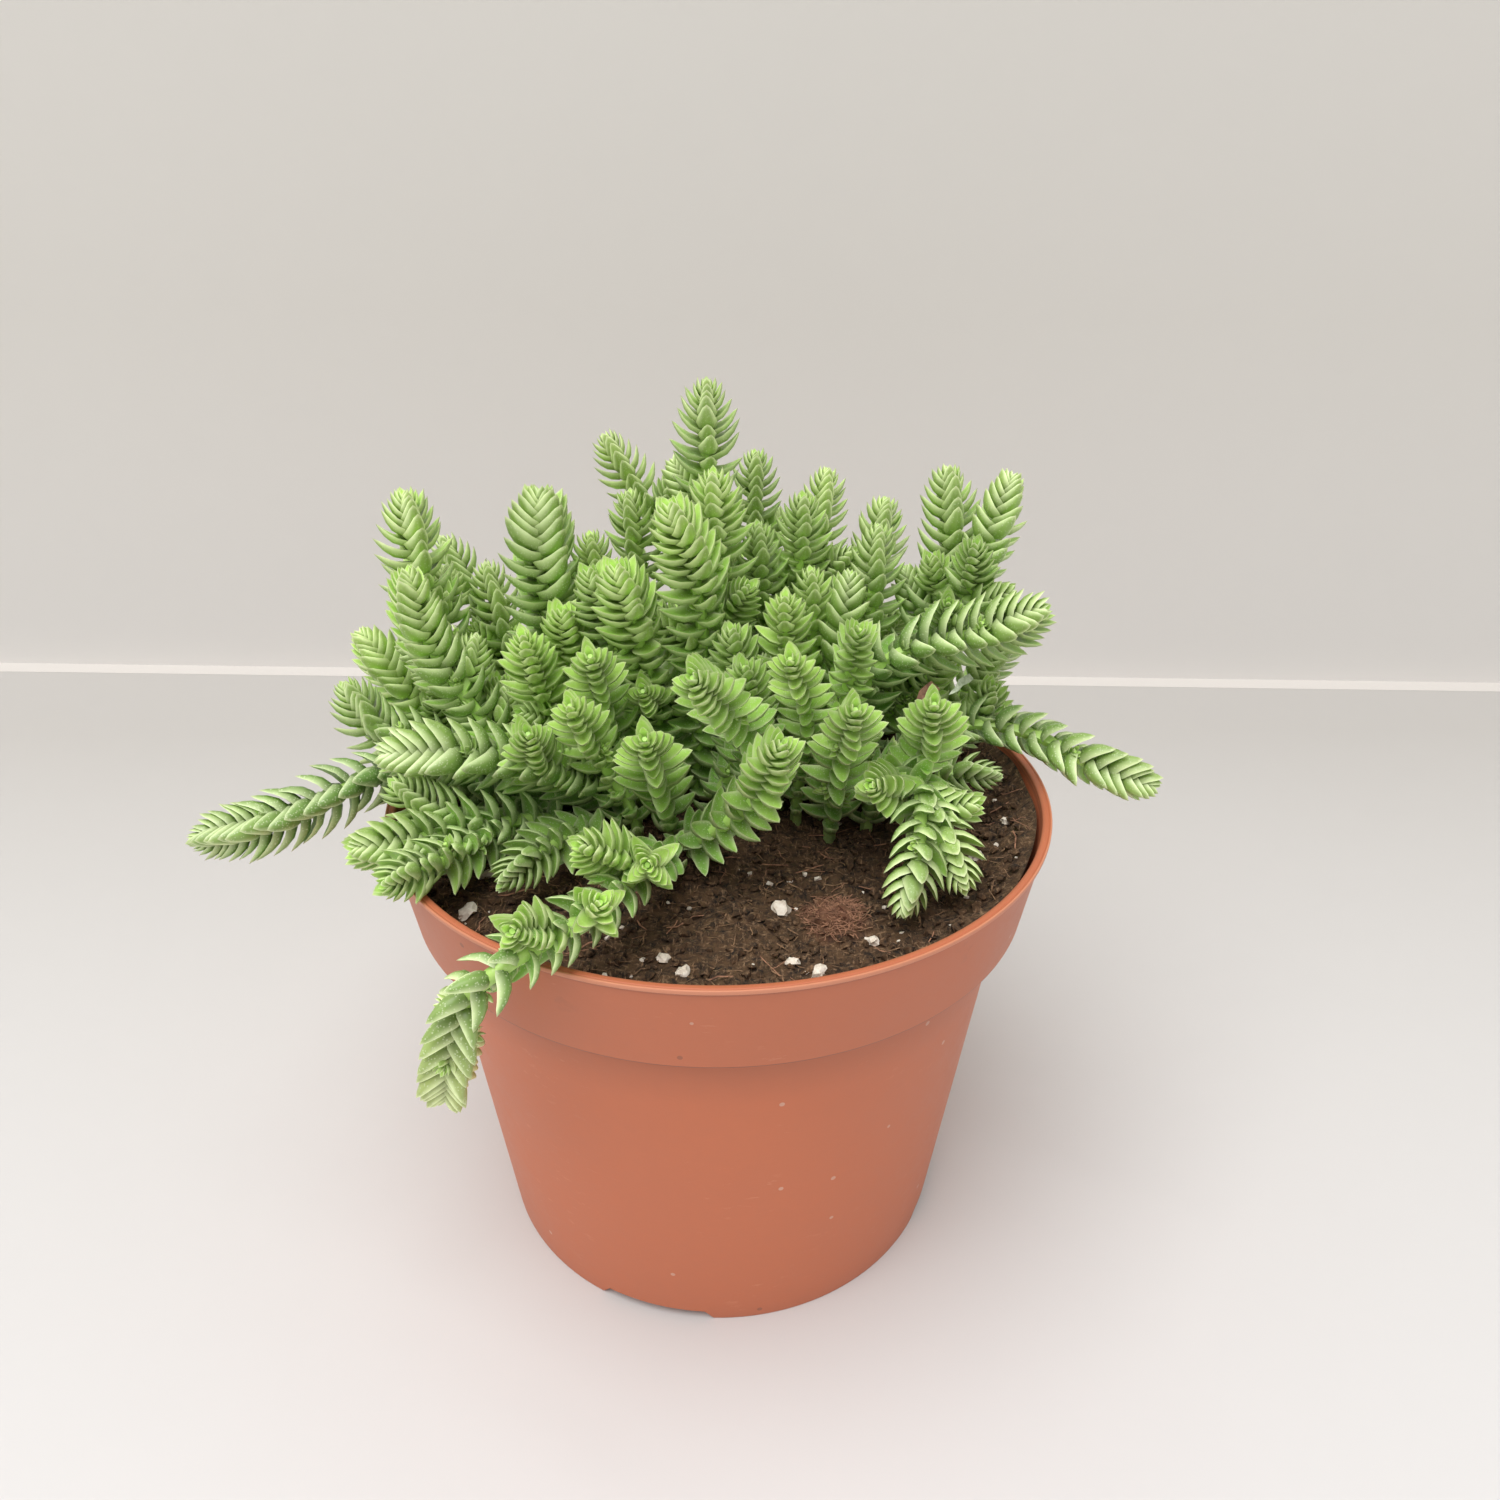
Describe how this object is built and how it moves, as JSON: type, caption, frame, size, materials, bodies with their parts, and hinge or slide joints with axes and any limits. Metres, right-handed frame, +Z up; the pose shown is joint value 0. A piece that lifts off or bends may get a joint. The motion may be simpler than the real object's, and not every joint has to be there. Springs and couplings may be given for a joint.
{
  "type": "potted crassula",
  "caption": "Bushy trailing succulent with crowded pointed leaves on upright and hanging stems, in peat soil in a tapered plastic nursery pot.",
  "frame": {"origin": "centre of the pot's foot, on the surface it stands on", "axes": "+Z up, -Y towards the side that the picture shows, +X to the right of that view"},
  "size_m": [0.1657, 0.126, 0.1585],
  "materials": {
    "pot": "terracotta-coloured moulded plastic, satin, lightly scuffed",
    "soil": null,
    "leaf": null
  },
  "bodies": {
    "root": {"pot": "pot", "soil": "soil", "stem_crown_1": "leaf", "stem_crown_2": "leaf", "stem_crown_3": "leaf", "stem_crown_4": "leaf", "stem_crown_5": "leaf", "stem_crown_6": "leaf", "stem_crown_7": "leaf", "stem_crown_8": "leaf", "stem_back_1": "leaf", "stem_back_2": "leaf", "stem_back_3": "leaf", "stem_back_4": "leaf", "stem_back_5": "leaf", "stem_back_6": "leaf", "stem_back_7": "leaf", "stem_back_8": "leaf", "stem_back_9": "leaf", "stem_back_10": "leaf", "stem_back_11": "leaf", "stem_back_12": "leaf", "stem_left_1": "leaf", "stem_left_2": "leaf", "stem_left_3": "leaf", "stem_left_4": "leaf", "stem_left_5": "leaf", "stem_left_6": "leaf", "stem_left_7": "leaf", "stem_left_8": "leaf", "stem_left_9": "leaf", "stem_left_10": "leaf", "stem_left_11": "leaf", "stem_left_12": "leaf", "stem_left_13": "leaf", "stem_front_1": "leaf", "stem_front_2": "leaf", "stem_front_3": "leaf", "stem_front_4": "leaf", "stem_front_5": "leaf", "stem_front_6": "leaf", "stem_front_7": "leaf", "stem_front_8": "leaf", "stem_front_9": "leaf", "stem_right_1": "leaf", "stem_right_2": "leaf", "stem_right_3": "leaf", "stem_right_4": "leaf", "stem_right_5": "leaf", "stem_right_6": "leaf", "stem_right_7": "leaf", "stem_right_8": "leaf", "stem_trail_front": "leaf", "stem_trail_left": "leaf"}
  },
  "joints": []
}
